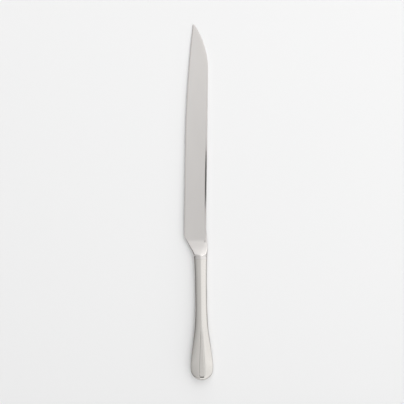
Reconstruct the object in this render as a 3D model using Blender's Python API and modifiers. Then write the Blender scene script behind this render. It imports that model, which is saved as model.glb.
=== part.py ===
"""Cake knife with a hollow handle, lying on its side.

The blade, its bolster, the locating collar and the tang are one forging. The handle is two pressed half
shells that meet on the knife's middle plane, with cement filled in round the tang.

The knife is drawn with y running from the butt (0) to the point, x towards the spine and z across the
thickness, its middle plane at z = 0. One empty then carries every piece, so that the middle of the knife's
box stands over the origin and its lowest point is at z = 0. Sizes are metres.
"""

import math

import bmesh
import bpy

MM = 0.001

# Blade, seen from the side
OVERALL_LENGTH = 320 * MM
HEEL_DROP = 15.2 * MM  # cutting edge below the handle's axis, at the heel
SPINE_RISE = 5.15 * MM  # spine above the handle's axis, at the shoulder
BLADE_CANT = 1.4  # degrees that the blade leans towards its spine
EDGE_SWEEP_LENGTH = 106 * MM  # the last stretch of the edge curves up to the point
EDGE_SWEEP_RISE = 5.5 * MM
CLIP_LENGTH = 42 * MM  # the last stretch of the spine drops to the point
TIP_WIDTH = 1.5 * MM
TIP_ROUND = 0.6 * MM
TIP_FLAT = 0.35 * MM  # what the rounding leaves at the very end

# Blade, across its thickness
SPINE_THICKNESS = 2.4 * MM  # at the heel
EDGE_THICKNESS = 0.7 * MM  # behind the bevel, at the heel and again at the point
BEVEL_WIDTH = 1.1 * MM
EDGE_LAND = 0.12 * MM
SPINE_FILLET = 0.5 * MM
NARROW_SHARE = 0.3  # of the blade's width: the most that bevel or fillet takes near the point

# Bolster, collar and tang
CHOIL_LENGTH = 20.5 * MM  # from the joint with the handle up to the heel
CHOIL_FILLET = 4.5 * MM
CHOIL_LAND = 0.5 * MM  # the choil is blunt where the cutting edge is sharp
NECK_LENGTH = 2 * MM  # from the joint up to the foot of the ramp
RAMP_LENGTH = 16.5 * MM  # from the neck up to where the flat of the blade starts
RAMP_HOLLOW = 0.9  # share of the ramp, at its blade end, that is hollow before it runs straight
RIDGE_LENGTH = 23 * MM  # from the neck up to where the ridge has run out to the spine
SWELL_LENGTH = 9 * MM  # from the joint up to where the bolster stands out farthest on the spine's side
SWELL_WIDTH = 13.0 * MM  # twice as far as it stands out there
SHOULDER_LENGTH = 31 * MM  # from the joint up to where that swell has run out into the spine
SHOULDER_DROP = 0.15  # share of its height that the shoulder loses from the ridge to the side
SHOULDER_ROUND = 3 * MM  # from the neck: the shoulder comes down to the handle's section here
CHAMFER_START = 0.6 * MM  # width of the chamfer along the choil, at the heel
CHAMFER_WIDTH = 1.6 * MM  # and at the neck
CHAMFER_PITCH = 0.85  # height of the chamfer over its width
COLLAR_LENGTH = 3 * MM
TANG_LENGTH = 58 * MM
TANG_WIDTH = 6.4 * MM
TANG_THICKNESS = 3.0 * MM
TANG_END_WIDTH = 3.6 * MM
TANG_END_THICKNESS = 1.8 * MM
TANG_SQUARENESS = 6  # exponent of the tang's section
TANG_CORNER = 0.02  # how much of a corner the section keeps, from 0 for a knife edge
NOTCH_COUNT = 3  # spread evenly along the tang
NOTCH_LENGTH = 3.5 * MM
NOTCH_DEPTH = 0.7 * MM
NOTCH_FLANK = 0.8 * MM

# Handle
HANDLE_LENGTH = 109 * MM  # from the butt to the joint with the bolster
MOUTH_WIDTH = 12.1 * MM
MOUTH_THICKNESS = 8.6 * MM
WAIST_WIDTH = 10.9 * MM
WAIST_THICKNESS = 8.0 * MM
WAIST_TO_BUTT = 85 * MM
BUTT_WIDTH = 20.4 * MM
BUTT_THICKNESS = 9.4 * MM
BUTT_LENGTH = 12.5 * MM  # from the end to where the handle starts to narrow
BUTT_DOME = 8 * MM  # length over which the thickness rounds off to the end
FLARE_BIAS = 1.72  # above 1, the waist widens late and then fast
DOME_FULLNESS = 2.3  # exponent of the dome's curve: 2 is an ellipse, more is squarer
ROOF_DROP = 0.7  # share of its height that the section loses from the ridge to the side
RIDGE_SHARE = 0.25  # share of that drop which is straight and makes the ridge; the rest curves
SIDE_SQUARENESS = 16  # exponent of the curve that closes the section at its side
RIB_LENGTH = 54 * MM  # from the end to the point where the rib rises out of the ridge
RIB_WIDTH = 4.2 * MM  # at the butt
RIB_START_WIDTH = 0.6 * MM
RIB_HEIGHT = 0.1 * MM  # of the rib's flat top over the flanks beside it
RIB_FLANK = 0.4 * MM
RIB_TO_END = 2.1 * MM  # from the end to the foot of the rib's own end face
RIB_END_FACE = 1.1 * MM
SIDE_LAND = 0.2 * MM  # narrow flat along each side, where the two halves are dressed flush
WALL = 0.8 * MM
FILL_PAST_TANG = 5 * MM  # how far the cement runs on behind the end of the tang

# Clearances
SEAM = 0.06 * MM  # hairline between the two shells, and between the shells and the bolster
FIT = 0.3 * MM  # round the collar, the cement and the tang

# Fineness of the facets
COLUMNS = 9  # points between the ridge and each side of a section
TIP_STEPS = 4
CLIP_STEPS = 14
SWEEP_STEPS = 6
BOLSTER_STEPS = 12
ROUND_STEPS = 3
NECK_STEPS = 3
MOUTH_STEPS = 6
FLARE_STEPS = 16
BUTT_STEPS = 9
FILL_STEPS = 12
BOUNDS_STEPS = 400
SHARP_ANGLE = 28  # degrees between facets that are shaded as one curve

# Places along the knife that follow from the sizes above
JOINT_Y = HANDLE_LENGTH
HEEL_Y = JOINT_Y + CHOIL_LENGTH
NECK_Y = JOINT_Y + NECK_LENGTH
RAMP_Y = NECK_Y + RAMP_LENGTH
RIDGE_Y = NECK_Y + RIDGE_LENGTH
SWELL_Y = JOINT_Y + SWELL_LENGTH
SHOULDER_Y = JOINT_Y + SHOULDER_LENGTH
SWEEP_Y = OVERALL_LENGTH - EDGE_SWEEP_LENGTH
CLIP_Y = OVERALL_LENGTH - CLIP_LENGTH
COLLAR_Y = JOINT_Y - COLLAR_LENGTH
TANG_END_Y = COLLAR_Y - TANG_LENGTH
FILL_END_Y = TANG_END_Y - FILL_PAST_TANG


def mix(a, b, share):
    return a + (b - a) * share


def clamp(value, low=0.0, high=1.0):
    return max(low, min(high, value))


def ease(t):
    """Smooth step from 0 to 1."""
    t = clamp(t)
    return t * t * (3 - 2 * t)


def arc_rise(run, length, rise):
    """Height at run along an arc that starts level and has climbed rise after length."""
    radius = (length**2 + rise**2) / (2 * rise)
    return radius - math.sqrt(radius**2 - clamp(run, 0, length) ** 2)


def full_curve(share):
    """1 at share 0 and 0 at share 1, along a curve a little fuller than a quarter circle."""
    return max(0.0, 1 - clamp(share) ** DOME_FULLNESS) ** (1 / DOME_FULLNESS)


def steps(start, end, count):
    """count + 1 values from start to end, both included."""
    return [mix(start, end, k / count) for k in range(count + 1)]


# The handle's outline


def handle_half_width(y):
    waist = WAIST_WIDTH / 2
    if y > WAIST_TO_BUTT:
        reach = (y - WAIST_TO_BUTT) / (JOINT_Y - WAIST_TO_BUTT)
        return mix(waist, MOUTH_WIDTH / 2, reach**2)
    reach = clamp((WAIST_TO_BUTT - y) / (WAIST_TO_BUTT - BUTT_LENGTH))
    flared = mix(waist, BUTT_WIDTH / 2, ease(reach**FLARE_BIAS))
    inwards = clamp(1 - y / (BUTT_WIDTH / 2))
    return flared * math.sqrt(1 - inwards**2)


def level_half_thickness(y):
    """Half the handle's thickness at the ridge, as if its end weren't domed."""
    waist = WAIST_THICKNESS / 2
    if y > WAIST_TO_BUTT:
        reach = (y - WAIST_TO_BUTT) / (JOINT_Y - WAIST_TO_BUTT)
        return mix(waist, MOUTH_THICKNESS / 2, reach**2)
    reach = clamp((WAIST_TO_BUTT - y) / (WAIST_TO_BUTT - BUTT_LENGTH))
    return mix(waist, BUTT_THICKNESS / 2, ease(reach))


def handle_half_thickness(y):
    return level_half_thickness(y) * full_curve(max(0, 1 - y / BUTT_DOME))


# The handle's section


def rib_share(y):
    """0 where the rib rises out of the ridge, 1 at the butt."""
    return clamp((RIB_LENGTH - y) / (RIB_LENGTH - BUTT_LENGTH))


def section_columns(y):
    """Places across a section, from -1 to 1: the ridge, the rib's top edges and feet, and then equal
    angles out to each side."""
    half_width = handle_half_width(y)
    rib = min(mix(RIB_START_WIDTH, RIB_WIDTH, rib_share(y)) / 2, NARROW_SHARE * half_width)
    foot = rib / half_width
    top = (rib - min(RIB_FLANK, rib / 2)) / half_width
    foot_angle = math.acos(foot)
    outer = COLUMNS - 2
    side = [top] + [math.cos(foot_angle * (1 - k / outer)) for k in range(outer + 1)]
    return [-place for place in reversed(side)] + [0.0] + side


def oval_height(place, half_thickness, drop=ROOF_DROP):
    """Height of the section's top, where place is 0 at the ridge and 1 at a side: a roof of two curved
    flanks, closed by a round side."""
    out = clamp(abs(place))
    roof = 1 - drop * out * mix(out, 1, RIDGE_SHARE)
    side = (1 - out**SIDE_SQUARENESS) ** (1 / SIDE_SQUARENESS)
    return max(half_thickness * roof * side, SIDE_LAND / 2)


def handle_profile(y, inset=0.0):
    """Top line of the handle's section at y, from the edge side to the spine side, drawn inset inwards."""
    half_width = handle_half_width(y) - inset
    half_thickness = handle_half_thickness(y) - inset
    return [(place * half_width, oval_height(place, half_thickness)) for place in section_columns(y)]


def ribbed_profile(y):
    """The handle's outer section, with the flat top of the rib in the middle. The rib runs on level over
    the dome of the butt and ends in a face of its own."""
    profile = handle_profile(y)
    if y < RIB_LENGTH:
        foot = section_columns(y)[COLUMNS + 2]
        present = clamp((y - RIB_TO_END) / RIB_END_FACE)
        top = oval_height(foot, level_half_thickness(y)) + RIB_HEIGHT * ease(3 * rib_share(y))
        for i in (COLUMNS - 1, COLUMNS, COLUMNS + 1):
            x, z = profile[i]
            profile[i] = (x, mix(z, top, present))
    return profile


# The blade's outline


def cant(run):
    return run * math.tan(math.radians(BLADE_CANT))


def edge_x(y):
    return -HEEL_DROP + cant(y - HEEL_Y) + arc_rise(y - SWEEP_Y, EDGE_SWEEP_LENGTH, EDGE_SWEEP_RISE)


def spine_line(y):
    return SPINE_RISE + cant(y - SHOULDER_Y)


def spine_x(y):
    drop = spine_line(OVERALL_LENGTH) - edge_x(OVERALL_LENGTH) - TIP_WIDTH
    return spine_line(y) - arc_rise(y - CLIP_Y, CLIP_LENGTH, drop)


def choil_x(y):
    """The cut from the handle up to the heel: almost straight, with a wide fillet at the handle."""
    run = math.hypot(y - JOINT_Y, CHOIL_FILLET) - CHOIL_FILLET
    whole = math.hypot(CHOIL_LENGTH, CHOIL_FILLET) - CHOIL_FILLET
    return mix(-MOUTH_WIDTH / 2, edge_x(HEEL_Y), run / whole)


def swell_x(y):
    """The bolster on the spine's side: it stands out beyond both the handle's mouth and the spine."""
    if y < SWELL_Y:
        return mix(MOUTH_WIDTH / 2, SWELL_WIDTH / 2, ease((y - JOINT_Y) / SWELL_LENGTH))
    return mix(SWELL_WIDTH / 2, spine_line(y), ease((y - SWELL_Y) / (SHOULDER_Y - SWELL_Y)))


def blade_sides(y):
    """Left and right of the outline at y. The point is rounded."""
    left = edge_x(y) if y >= HEEL_Y else choil_x(y)
    if y < SHOULDER_Y:
        return left, swell_x(y)
    right = spine_x(y)
    inwards = clamp((y - (OVERALL_LENGTH - TIP_ROUND)) / TIP_ROUND)
    closed = (right - left - TIP_FLAT) / 2 * (1 - math.sqrt(1 - inwards**2))
    return left + closed, right - closed


# The blade's section

FLAT_SLOPE_X = (SPINE_THICKNESS - EDGE_THICKNESS) / 2 / (spine_line(HEEL_Y) - edge_x(HEEL_Y))
FLAT_SLOPE_Y = -FLAT_SLOPE_X * (edge_x(OVERALL_LENGTH) - edge_x(HEEL_Y)) / (OVERALL_LENGTH - HEEL_Y)


def flat_height(x, y):
    """Half the blade's thickness on its ground flat, which is one true plane on each side."""
    return EDGE_THICKNESS / 2 + FLAT_SLOPE_X * (x - edge_x(HEEL_Y)) + FLAT_SLOPE_Y * (y - HEEL_Y)


def edge_height(x, y, left, bevel):
    """Half the thickness between the edge and the ridge: on the bevel, then on the flat."""
    if y >= HEEL_Y and x < left + bevel:
        return mix(EDGE_LAND / 2, flat_height(left + bevel, y), (x - left) / bevel)
    return flat_height(x, y)


def spine_height(place, ridge, y, fillet):
    """Half the thickness between the ridge (place 0) and the spine (place 1), which falls by the fillet."""
    return flat_height(ridge, y) - fillet * (1 - math.sqrt(max(0.0, 1 - place**2)))


def ramp_rise(y):
    """0 on the flat of the blade, 1 at the neck: along a hollow curve first, then along its tangent."""
    ramp = clamp((RAMP_Y - y) / RAMP_LENGTH)
    hollow = min(ramp, RAMP_HOLLOW)
    return hollow * (2 * ramp - hollow) / (RAMP_HOLLOW * (2 - RAMP_HOLLOW))


def bolster_height(on_blade, place, side_gap, chamfer, y):
    """Half the thickness where the blade's height is on_blade, place is 0 at the ridge and 1 at a side,
    and side_gap is the way left to that side. The ramp lifts the blade to a shoulder with a chamfer along
    its side, and close to the neck the shoulder comes down to the handle's section."""
    shoulder = mix(on_blade, oval_height(place, MOUTH_THICKNESS / 2, SHOULDER_DROP), ramp_rise(y))
    cut = CHAMFER_PITCH * max(0, chamfer - side_gap)
    shoulder = max(shoulder - cut, min(shoulder, CHOIL_LAND / 2))
    return mix(oval_height(place, MOUTH_THICKNESS / 2), shoulder, ease((y - NECK_Y) / SHOULDER_ROUND))


def blade_profile(y):
    """Top line of the section at y, from the cutting edge to the spine. Below the shoulder the wedge of the
    blade turns into the oval of the handle, and the line along the spine's fillet into the handle's ridge."""
    left, right = blade_sides(y)
    most = NARROW_SHARE * (right - left)
    fillet = min(SPINE_FILLET, most, flat_height(right, y) - SIDE_LAND / 2)
    turned = ease((RIDGE_Y - y) / RIDGE_LENGTH)
    ridge = mix(right - fillet, 0.0, turned)
    rise = ramp_rise(y)
    edge_chamfer = 0.0 if y >= HEEL_Y else mix(CHAMFER_START, CHAMFER_WIDTH, rise)
    spine_chamfer = CHAMFER_WIDTH * rise
    bevel = min(BEVEL_WIDTH, most) if y >= HEEL_Y else edge_chamfer
    oval = section_columns(JOINT_Y)
    wedge = [0.0] + steps(bevel / (ridge - left), 1, COLUMNS - 1)

    profile = []
    for on_wedge, on_oval in zip(wedge, oval):
        place = mix(on_wedge, 1 + on_oval, turned)
        x = mix(left, ridge, place)
        on_blade = edge_height(x, y, left, bevel)
        profile.append((x, bolster_height(on_blade, 1 - place, x - left, edge_chamfer, y)))
    for k, on_oval in enumerate(oval[COLUMNS + 1 :], start=1):
        place = mix(math.sin(math.pi / 2 * k / COLUMNS), on_oval, turned)
        x = mix(ridge, right, place)
        on_blade = spine_height(place, ridge, y, fillet)
        profile.append((x, bolster_height(on_blade, place, right - x, spine_chamfer, y)))
    return profile


# The tang


def notch_middles():
    return [COLLAR_Y - TANG_LENGTH * k / (NOTCH_COUNT + 1) for k in range(1, NOTCH_COUNT + 1)]


def notch_share(y, clearance):
    """1 along the bottom of a notch and 0 beside it, with sloped flanks between. What fills the notch is
    shorter by the clearance at each end."""
    beyond = [abs(y - middle) - (NOTCH_LENGTH / 2 - clearance) for middle in notch_middles()]
    return clamp(1 - min(beyond) / NOTCH_FLANK)


def tang_profile(y, clearance=0.0):
    """Top line of the tang's rounded bar at y, grown by the clearance."""
    reach = clamp((COLLAR_Y - y) / TANG_LENGTH)
    half_width = mix(TANG_WIDTH, TANG_END_WIDTH, reach) / 2 - NOTCH_DEPTH * notch_share(y, clearance)
    half_thickness = mix(TANG_THICKNESS, TANG_END_THICKNESS, reach) / 2
    profile = []
    for place in section_columns(JOINT_Y):
        arch = max(TANG_CORNER, 1 - abs(place) ** TANG_SQUARENESS) ** (1 / TANG_SQUARENESS)
        profile.append((place * (half_width + clearance), arch * (half_thickness + clearance)))
    return profile


def tang_stations(start_y, end_y, clearance=0.0):
    """Places along the tang: its ends, and both ends of every notch's flanks."""
    bottom = NOTCH_LENGTH / 2 - clearance
    stations = [start_y, end_y]
    for middle in notch_middles():
        stations += [middle + side * reach for side in (-1, 1) for reach in (bottom, bottom + NOTCH_FLANK)]
    return sorted(stations, reverse=True)


# Building blocks


def ring(profile, y):
    """A closed ring of points at y: the profile along the top and its mirror image back underneath."""
    top = [(x, y, z) for x, z in profile]
    return top + [(x, y, -z) for x, z in reversed(profile)]


def make_material(name, colour, roughness, metallic):
    material = bpy.data.materials.new(name)
    material.use_nodes = True
    shader = material.node_tree.nodes["Principled BSDF"]
    shader.inputs["Base Color"].default_value = (*colour, 1)
    shader.inputs["Roughness"].default_value = roughness
    shader.inputs["Metallic"].default_value = metallic
    return material


def make_collection(name):
    collection = bpy.data.collections.new(name)
    bpy.context.scene.collection.children.link(collection)
    return collection


def finish(name, skin, collection, parent):
    """Turns a bmesh into an object of the collection, carried by the parent."""
    mesh = bpy.data.meshes.new(name)
    skin.to_mesh(mesh)
    skin.free()
    mesh.shade_smooth()
    mesh.set_sharp_from_angle(angle=math.radians(SHARP_ANGLE))
    made = bpy.data.objects.new(name, mesh)
    made.parent = parent
    collection.objects.link(made)
    return made


def loft(rings, open_start=False):
    """A skin through rings with equal counts of points, closed at its ends unless open_start is set."""
    skin = bmesh.new()
    loops = [[skin.verts.new(point) for point in points] for points in rings]
    count = len(loops[0])
    for near, far in zip(loops, loops[1:]):
        for i in range(count):
            j = (i + 1) % count
            skin.faces.new((near[i], near[j], far[j], far[i]))
    skin.faces.new(loops[-1])
    start_cap = skin.faces.new(loops[0])
    bmesh.ops.recalc_face_normals(skin, faces=skin.faces)
    if open_start:
        skin.faces.remove(start_cap)
    return skin


def block(low, high):
    """A box between two corners."""
    skin = bmesh.new()
    corners = bmesh.ops.create_cube(skin, size=1)["verts"]
    bmesh.ops.scale(skin, verts=corners, vec=[b - a for a, b in zip(low, high)])
    bmesh.ops.translate(skin, verts=corners, vec=[(a + b) / 2 for a, b in zip(low, high)])
    return skin


def cut_with(target, cutter, operation):
    """Cuts the target with another object, which is only a tool and not a piece of the knife."""
    cutter.hide_render = True
    cutter.display_type = "WIRE"
    modifier = target.modifiers.new(cutter.name, "BOOLEAN")
    modifier.operation = operation
    modifier.object = cutter


# The pieces


def make_blade(collection, parent):
    """Blade, bolster, collar and tang: one loft from the point to the end of the tang."""
    point_start = OVERALL_LENGTH - TIP_ROUND
    stations = [point_start + TIP_ROUND * math.sin(angle) for angle in steps(math.pi / 2, 0, TIP_STEPS)]
    stations += steps(point_start, CLIP_Y, CLIP_STEPS)[1:]
    stations += steps(CLIP_Y, SWEEP_Y, SWEEP_STEPS)[1:]
    heel = [HEEL_Y, HEEL_Y - SPINE_FILLET / 2]
    bolster = steps(SHOULDER_Y, NECK_Y + SHOULDER_ROUND, BOLSTER_STEPS)
    bolster += steps(NECK_Y + SHOULDER_ROUND, NECK_Y, ROUND_STEPS)[1:]
    bolster += steps(NECK_Y, JOINT_Y, NECK_STEPS)[1:]
    stations += sorted(heel + [y for y in bolster if abs(y - HEEL_Y) > SPINE_FILLET], reverse=True)
    rings = [ring(blade_profile(y), y) for y in stations]
    rings += [ring(handle_profile(y, inset=WALL + FIT), y) for y in (JOINT_Y, COLLAR_Y)]
    rings += [ring(tang_profile(y), y) for y in tang_stations(COLLAR_Y, TANG_END_Y)]
    return finish("blade", loft(rings), collection, parent)


def make_shell(name, side, collection, cutters, parent):
    """One pressed half of the handle: a tube with a domed end, given its wall and cut at the middle."""
    past_mouth = JOINT_Y + WALL
    stations = steps(past_mouth, WAIST_TO_BUTT, MOUTH_STEPS)
    stations += steps(WAIST_TO_BUTT, BUTT_WIDTH / 2, FLARE_STEPS)[1:]
    turns = [math.pi / 2 * k / (BUTT_STEPS + 1) for k in range(1, BUTT_STEPS + 1)]
    stations += [BUTT_WIDTH / 2 * (1 - math.sin(turn)) for turn in turns]
    rings = [ring(ribbed_profile(y), y) for y in stations]
    rings.append([(x, 0.0, z) for x, _, z in rings.pop()])
    shell = finish(name, loft(rings, open_start=True), collection, parent)

    wall = shell.modifiers.new("wall", "SOLIDIFY")
    wall.thickness = WALL
    wall.offset = -1
    wall.use_even_offset = True

    near, far = sorted((side * SEAM / 2, side * BUTT_WIDTH))
    half_space = block((-BUTT_WIDTH, -BUTT_WIDTH, near), (BUTT_WIDTH, JOINT_Y - SEAM, far))
    cut_with(shell, finish(f"{name}_half_space", half_space, cutters, parent), "INTERSECT")
    return shell


def make_cement(collection, cutters, parent):
    """The fill between the tang and the shells, cast round the tang and its notches."""
    stations = steps(COLLAR_Y - FIT, FILL_END_Y, FILL_STEPS)
    rings = [ring(handle_profile(y, inset=WALL + FIT), y) for y in stations]
    cement = finish("handle_cement", loft(rings), collection, parent)

    along_tang = tang_stations(COLLAR_Y + FIT, TANG_END_Y - FIT, clearance=FIT)
    socket = [ring(tang_profile(y, clearance=FIT), y) for y in along_tang]
    cut_with(cement, finish("tang_socket", loft(socket), cutters, parent), "DIFFERENCE")
    return cement


def place_on_surface(carrier):
    """Moves the empty so that the knife's box stands over the origin with its lowest point at z = 0."""
    handle_ys = steps(RIB_TO_END + RIB_END_FACE, JOINT_Y, BOUNDS_STEPS)
    blade_ys = [HEEL_Y] + steps(JOINT_Y, OVERALL_LENGTH, BOUNDS_STEPS)
    half_height = max(ribbed_profile(y)[COLUMNS][1] for y in handle_ys)
    left = min([-BUTT_WIDTH / 2] + [blade_sides(y)[0] for y in blade_ys])
    right = max([BUTT_WIDTH / 2] + [blade_sides(y)[1] for y in blade_ys])
    carrier.location = (-(left + right) / 2, -OVERALL_LENGTH / 2, half_height)


def main():
    for old in list(bpy.data.objects):
        bpy.data.objects.remove(old)
    knife = make_collection("cake_knife")
    cutters = make_collection("cutters")
    carrier = bpy.data.objects.new("knife_carrier", None)
    knife.objects.link(carrier)

    blade = make_blade(knife, carrier)
    upper = make_shell("upper_handle_shell", 1, knife, cutters, carrier)
    lower = make_shell("lower_handle_shell", -1, knife, cutters, carrier)
    cement = make_cement(knife, cutters, carrier)

    blade_steel = make_material("blade_steel", (0.60, 0.59, 0.57), 0.24, 1.0)
    handle_steel = make_material("handle_steel", (0.66, 0.65, 0.62), 0.10, 1.0)
    cement_grey = make_material("cement_grey", (0.46, 0.44, 0.41), 0.90, 0.0)
    blade.data.materials.append(blade_steel)
    upper.data.materials.append(handle_steel)
    lower.data.materials.append(handle_steel)
    cement.data.materials.append(cement_grey)
    place_on_surface(carrier)


main()
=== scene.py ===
# %% [markdown]
# # A cake knife in polished steel
#
# The knife lies on its side on a sheet of white card, seen from straight above. It has a long forged blade
# and a slim hollow handle, and all of it is stainless steel. Steel has hardly any colour of its own: what
# the eye reads as its form is the studio that it mirrors. So this script spends its effort on two things:
# surfaces that are smooth and true enough to carry a reflection, and a studio worth reflecting.

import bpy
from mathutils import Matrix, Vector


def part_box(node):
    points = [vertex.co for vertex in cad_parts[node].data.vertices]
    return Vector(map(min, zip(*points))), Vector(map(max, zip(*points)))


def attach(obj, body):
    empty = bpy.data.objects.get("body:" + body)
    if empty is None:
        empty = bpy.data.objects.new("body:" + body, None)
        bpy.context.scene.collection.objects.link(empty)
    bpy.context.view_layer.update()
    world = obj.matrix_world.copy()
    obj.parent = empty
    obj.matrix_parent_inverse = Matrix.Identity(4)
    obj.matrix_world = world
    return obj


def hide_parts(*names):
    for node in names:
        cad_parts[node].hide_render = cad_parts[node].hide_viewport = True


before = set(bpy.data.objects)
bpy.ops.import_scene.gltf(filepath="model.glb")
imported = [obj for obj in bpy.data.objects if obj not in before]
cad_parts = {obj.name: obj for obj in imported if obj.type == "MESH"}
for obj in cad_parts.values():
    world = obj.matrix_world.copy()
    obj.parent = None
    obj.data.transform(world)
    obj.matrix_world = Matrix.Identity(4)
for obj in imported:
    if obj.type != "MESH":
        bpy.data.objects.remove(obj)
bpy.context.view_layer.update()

import math

import bmesh
import bpy

MM = 0.001

# %% [markdown]
# ## Where the knife lies
#
# The pieces are drawn with y running from the butt of the handle (0) to the point, x towards the spine and z
# up from the plane that halves the knife. That place could be typed in, but then it could drift away from
# the solids, so it is read from the frame: the two handle shells meet on the halving plane, and the handle's
# axis runs down the middle of them.

# %% Read the knife's place from the frame
upper_low, upper_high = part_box("upper_handle_shell")
_, lower_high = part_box("lower_handle_shell")
_, blade_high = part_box("blade")

PLACE = ((upper_low.x + upper_high.x) / 2, upper_low.y, (upper_low.z + lower_high.z) / 2)
OVERALL_LENGTH = blade_high.y - upper_low.y
SEAM = upper_low.z - lower_high.z
JOINT_Y = upper_high.y - upper_low.y + SEAM
print(f"Overall {OVERALL_LENGTH / MM:.1f} mm, joint at {JOINT_Y / MM:.2f} mm, seam {SEAM / MM:.3f} mm")

# %% [markdown]
# ## Node trees written as sums
#
# Geometry nodes and shader nodes both do arithmetic, and a long chain of Math nodes is hard to read when each
# one takes five lines. The small class below wraps a socket, so that ordinary operators add the Math nodes:
# `1 - share * 2` makes two of them. Any other node comes from one method that takes the node's type, its
# settings, and the values or links of its sockets.

# %% A socket that can be used in sums
class Socket:
    """A node's output that takes part in arithmetic."""

    def __init__(self, net, link):
        self.net = net
        self.link = link

    def __add__(self, other):
        return self.net.math("ADD", self, other)

    def __sub__(self, other):
        return self.net.math("SUBTRACT", self, other)

    def __rsub__(self, other):
        return self.net.math("SUBTRACT", other, self)

    def __mul__(self, other):
        return self.net.math("MULTIPLY", self, other)

    def __truediv__(self, other):
        return self.net.math("DIVIDE", self, other)

    def __rtruediv__(self, other):
        return self.net.math("DIVIDE", other, self)

    def __pow__(self, other):
        return self.net.math("POWER", self, other)

    __radd__ = __add__
    __rmul__ = __mul__


# %% A tree that hands out sockets
class Net:
    """A node tree that hands out sockets."""

    def __init__(self, tree):
        self.tree = tree

    def node(self, kind, settings=None, inputs=None, output=0):
        """Adds a node: first its settings, then the values or links of its sockets."""
        made = self.tree.nodes.new(kind)
        for name, value in (settings or {}).items():
            setattr(made, name, value)
        for key, value in (inputs or {}).items():
            self.feed(made.inputs[key], value)
        return Socket(self, made.outputs[output])

    def feed(self, socket, value):
        """Links a socket to another, or writes a value on it."""
        if isinstance(value, Socket):
            self.tree.links.new(value.link, socket)
        else:
            socket.default_value = value

    def math(self, operation, *values):
        inputs = dict(enumerate(values))
        return self.node("ShaderNodeMath", {"operation": operation}, inputs)

    def reach(self, value, start, end, low=0.0, high=1.0, smooth=False):
        """How far the value has come from start to end, held between low and high."""
        settings = {"interpolation_type": "SMOOTHSTEP" if smooth else "LINEAR", "clamp": True}
        inputs = {"Value": value, "From Min": start, "From Max": end, "To Min": low, "To Max": high}
        return self.node("ShaderNodeMapRange", settings, inputs)

    def split(self, vector):
        """The x, y and z of a vector."""
        parts = self.node("ShaderNodeSeparateXYZ", inputs={"Vector": vector}).link.node
        return [Socket(self, part) for part in parts.outputs]

    def blend(self, share, first, second):
        """A colour between two. The Mix node keeps its colours on sockets 6 and 7 and its result on 2."""
        inputs = {"Factor": share, 6: (*first, 1), 7: (*second, 1)}
        return self.node("ShaderNodeMix", {"data_type": "RGBA"}, inputs, output=2)


# %% [markdown]
# ## The hollow handle
#
# A hollow cutlery handle starts as two thin pressed halves, brazed together along both sides and polished
# until the seam is gone. Its outline narrows from the mouth to a waist and flares, late and then fast, to a
# round butt. Every section is a shallow roof: two gently curved flanks meet in a soft ridge, and a quick
# round closes each side. Towards the butt a flat-topped rib rises out of the ridge between two shallow
# grooves, and stops just short of the end in a steep little face.
#
# A cage under a Subdivision Surface could give such a handle too, and would suit a form that is found by
# eye. This one follows a rule, and a rule suits Geometry Nodes. A flat grid is the raw sheet: its columns
# run across the section and its rows along the handle, and one Set Position node presses it to shape. The
# lower half is the same pressing turned over, not mirrored, so that its faces still point outwards.

# %% The handle's sizes
HANDLE = {
    "Length": JOINT_Y - SEAM,
    "Mouth width": 12.0 * MM,
    "Mouth thickness": 8.6 * MM,
    "Waist width": 10.8 * MM,
    "Waist thickness": 8.0 * MM,
    "Waist to butt": 85 * MM,
    "Butt width": 20.1 * MM,
    "Butt thickness": 9.4 * MM,
    "Butt length": 12.5 * MM,
    "Butt dome": 8 * MM,
    "Rib length": 54 * MM,
    "Rib width": 4.2 * MM,
    "Rib start width": 0.6 * MM,
    "Rib height": 0.07 * MM,
    "Rib flank": 0.3 * MM,
    "Rib to end": 2.5 * MM,
    "Rib end face": 1.3 * MM,
    "Groove width": 1.5 * MM,
    "Groove depth": 0.18 * MM,
    "Side land": 0.2 * MM,
    "Seam": SEAM,
}
print(f"Handle {HANDLE['Length'] / MM:.1f} mm long, its butt {HANDLE['Butt width'] / MM:.1f} mm wide")

# %% The rule of the outline and the section
FLARE_BIAS = 1.95
ROOF_DROP = 0.7
RIDGE_SHARE = 0.25
RIDGE_SOFTNESS = 0.035
SIDE_SQUARENESS = 12


def full_curve(net, share, fullness):
    """1 at share 0 and 0 at share 1: a quarter circle at fullness 2, and squarer the fuller it is."""
    return net.math("MAXIMUM", 1 - share**fullness, 0) ** (1 / fullness)


def section_height(net, place, half_thickness):
    """Height of the section, where place is 0 at the ridge and 1 at a side."""
    softened = net.math("SQRT", place * place + RIDGE_SOFTNESS**2) - RIDGE_SOFTNESS
    roof = 1 - (softened * RIDGE_SHARE + place * place * (1 - RIDGE_SHARE)) * ROOF_DROP
    return half_thickness * roof * full_curve(net, place, SIDE_SQUARENESS)


def handle_outline(net, size, y):
    """Half the width and half the thickness of the handle at y, the second before its end is domed."""
    neck = net.reach(y, size["Waist to butt"], size["Length"] + size["Seam"])
    flare = net.reach(y, size["Waist to butt"], size["Butt length"])
    widening = net.reach(flare**FLARE_BIAS, 0, 1, smooth=True)
    thickening = net.reach(flare, 0, 1, smooth=True)
    width = (
        size["Waist width"]
        + (size["Mouth width"] - size["Waist width"]) * neck**2
        + (size["Butt width"] - size["Waist width"]) * widening
    )
    thickness = (
        size["Waist thickness"]
        + (size["Mouth thickness"] - size["Waist thickness"]) * neck**2
        + (size["Butt thickness"] - size["Waist thickness"]) * thickening
    )
    inwards = net.reach(y, 0, size["Butt width"] / 2, 1, 0)
    rounding = net.math("SQRT", net.math("MAXIMUM", 1 - inwards * inwards, 0))
    return width / 2 * rounding, thickness / 2


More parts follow.
